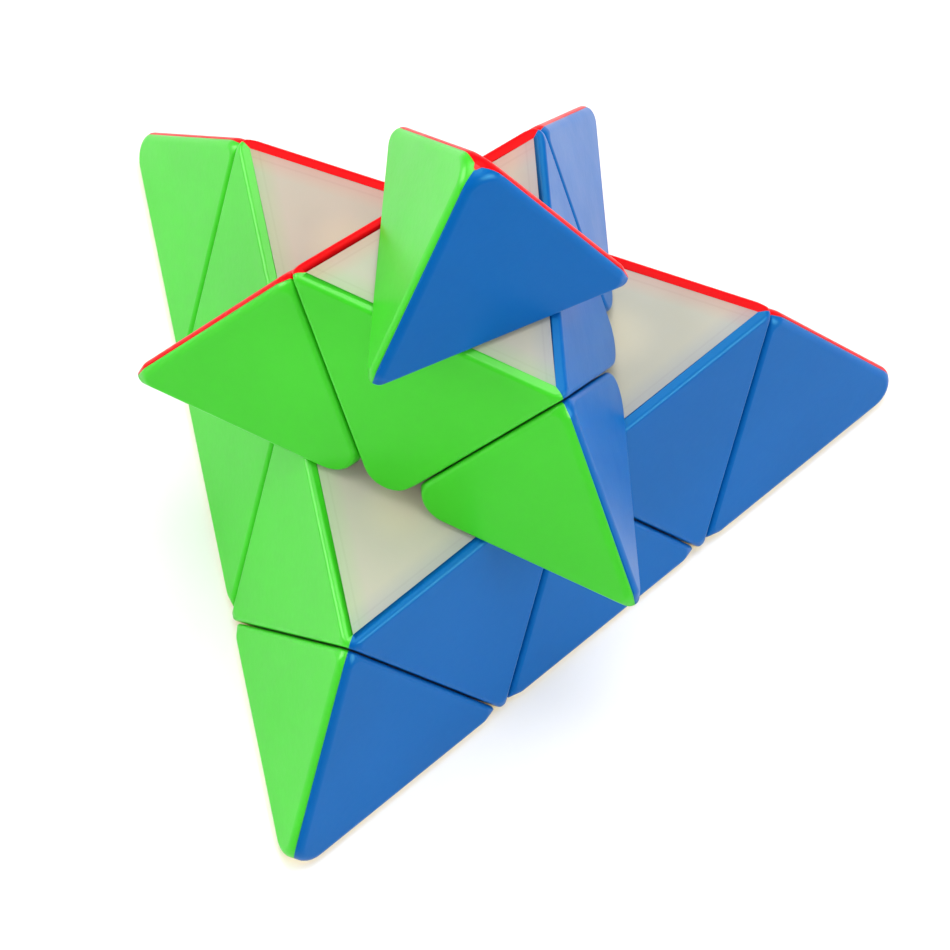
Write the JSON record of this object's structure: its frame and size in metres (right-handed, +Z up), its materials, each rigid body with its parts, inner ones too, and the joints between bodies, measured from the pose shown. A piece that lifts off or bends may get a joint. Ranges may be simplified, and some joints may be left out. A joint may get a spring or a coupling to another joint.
{
  "type": "pyramid twisty puzzle",
  "caption": "Pyramid twisty puzzle with turning layers and push-on tips, coloured plates on ivory bodies and a sprung ball core, its middle layer and top tip part-turned.",
  "frame": {"origin": "middle of the base face", "axes": "+Z up through the top corner; -Y towards the front corner of the base"},
  "size_m": [0.0972, 0.0928, 0.0794],
  "materials": {
    "green_plastic": "glossy",
    "blue_plastic": "glossy",
    "red_plastic": "glossy",
    "yellow_plastic": "glossy",
    "ivory_plastic": "satin",
    "core_plastic": "matte",
    "screw_steel": "plated",
    "spring_steel": "bright"
  },
  "bodies": {
    "base": {"core": "core_plastic", "axis_screws": "screw_steel", "axis_springs": "spring_steel", "axis_washers": "screw_steel", "left_center_body": "ivory_plastic", "left_center_yellow": "yellow_plastic", "left_center_green": "green_plastic", "left_center_red": "red_plastic", "right_center_body": "ivory_plastic", "right_center_yellow": "yellow_plastic", "right_center_blue": "blue_plastic", "right_center_red": "red_plastic", "front_center_body": "ivory_plastic", "front_center_yellow": "yellow_plastic", "front_center_blue": "blue_plastic", "front_center_green": "green_plastic", "left_right_edge_body": "ivory_plastic", "left_right_edge_yellow": "yellow_plastic", "left_right_edge_red": "red_plastic", "left_front_edge_body": "ivory_plastic", "left_front_edge_yellow": "yellow_plastic", "left_front_edge_green": "green_plastic", "right_front_edge_body": "ivory_plastic", "right_front_edge_yellow": "yellow_plastic", "right_front_edge_blue": "blue_plastic"},
    "top_layer": {"top_center_body": "ivory_plastic", "top_center_blue": "blue_plastic", "top_center_green": "green_plastic", "top_center_red": "red_plastic", "top_left_edge_body": "ivory_plastic", "top_left_edge_green": "green_plastic", "top_left_edge_red": "red_plastic", "top_right_edge_body": "ivory_plastic", "top_right_edge_blue": "blue_plastic", "top_right_edge_red": "red_plastic", "top_front_edge_body": "ivory_plastic", "top_front_edge_blue": "blue_plastic", "top_front_edge_green": "green_plastic"},
    "top_tip": {"top_tip_body": "ivory_plastic", "top_tip_blue": "blue_plastic", "top_tip_green": "green_plastic", "top_tip_red": "red_plastic"},
    "left_tip": {"left_tip_body": "ivory_plastic", "left_tip_yellow": "yellow_plastic", "left_tip_green": "green_plastic", "left_tip_red": "red_plastic"},
    "right_tip": {"right_tip_body": "ivory_plastic", "right_tip_yellow": "yellow_plastic", "right_tip_blue": "blue_plastic", "right_tip_red": "red_plastic"},
    "front_tip": {"front_tip_body": "ivory_plastic", "front_tip_yellow": "yellow_plastic", "front_tip_blue": "blue_plastic", "front_tip_green": "green_plastic"}
  },
  "joints": [
    {"name": "top_layer_turn", "type": "hinge", "parent": "base", "child": "top_layer", "pos_m": [0, 0, 0.0209], "axis": [0, 0, 1], "continuous": true},
    {"name": "top_tip_turn", "type": "hinge", "parent": "top_layer", "child": "top_tip", "pos_m": [0, 0, 0.0209], "axis": [0, 0, 1], "continuous": true},
    {"name": "left_tip_turn", "type": "hinge", "parent": "base", "child": "left_tip", "pos_m": [0, 0, 0.0209], "axis": [-0.8165, 0.4714, -0.3333], "continuous": true},
    {"name": "right_tip_turn", "type": "hinge", "parent": "base", "child": "right_tip", "pos_m": [0, 0, 0.0209], "axis": [0.8165, 0.4714, -0.3333], "continuous": true},
    {"name": "front_tip_turn", "type": "hinge", "parent": "base", "child": "front_tip", "pos_m": [0, 0, 0.0209], "axis": [0, -0.9428, -0.3333], "continuous": true}
  ]
}
